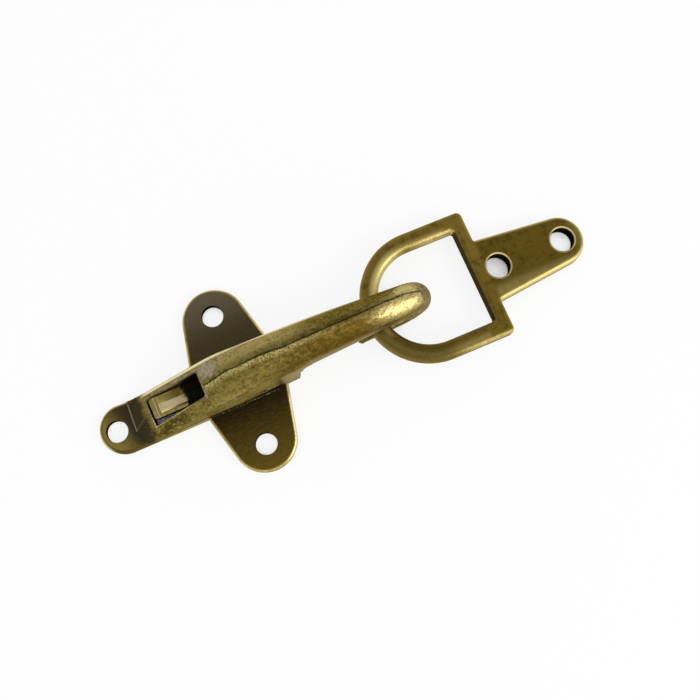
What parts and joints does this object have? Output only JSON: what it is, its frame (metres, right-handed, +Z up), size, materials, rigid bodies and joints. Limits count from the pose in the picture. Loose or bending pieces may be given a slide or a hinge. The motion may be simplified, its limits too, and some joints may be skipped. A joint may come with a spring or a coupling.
{
  "type": "hook buckle",
  "caption": "Cast hook-and-loop clasp: an arched hook with a sprung latch lever on a flat screw-down foot, holding a D-shaped loop plate with a tapered strap.",
  "frame": {"origin": "midway between the two ear holes, on the mounting plane under the hook's foot", "axes": "+X from the hook's tail towards the loop's strap end, +Z up off the mounting plane, +Y across through the ear holes"},
  "size_m": [0.105, 0.039, 0.0149],
  "materials": {
    "hook_brass": "antique brass, dark in the flats and worn bright on the edges",
    "lever_brass": "antique brass, ground on the rib",
    "pin_brass": "antique brass",
    "spring_steel": "bright wire",
    "loop_brass": "antique brass, dark in the flats and worn bright on the edges"
  },
  "bodies": {
    "hook": {"hook_body": "hook_brass", "pivot_pin": "pin_brass", "latch_spring": "spring_steel"},
    "lever": {"latch_lever": "lever_brass"},
    "loop": {"loop_plate": "loop_brass"}
  },
  "joints": [
    {"name": "lever_press", "type": "hinge", "parent": "hook", "child": "lever", "pos_m": [0.0036, 0, 0.005], "axis": [0, -1, 0], "range_deg": [0, 9], "stiffness_Nm_per_rad": 0.12, "springref_deg": -20.05, "deforming": ["latch_spring"]},
    {"name": "loop_swing", "type": "hinge", "parent": "hook", "child": "loop", "pos_m": [0.0293, 0, 0.00509], "axis": [0, 1, 0], "range_deg": [-120, 15]}
  ]
}
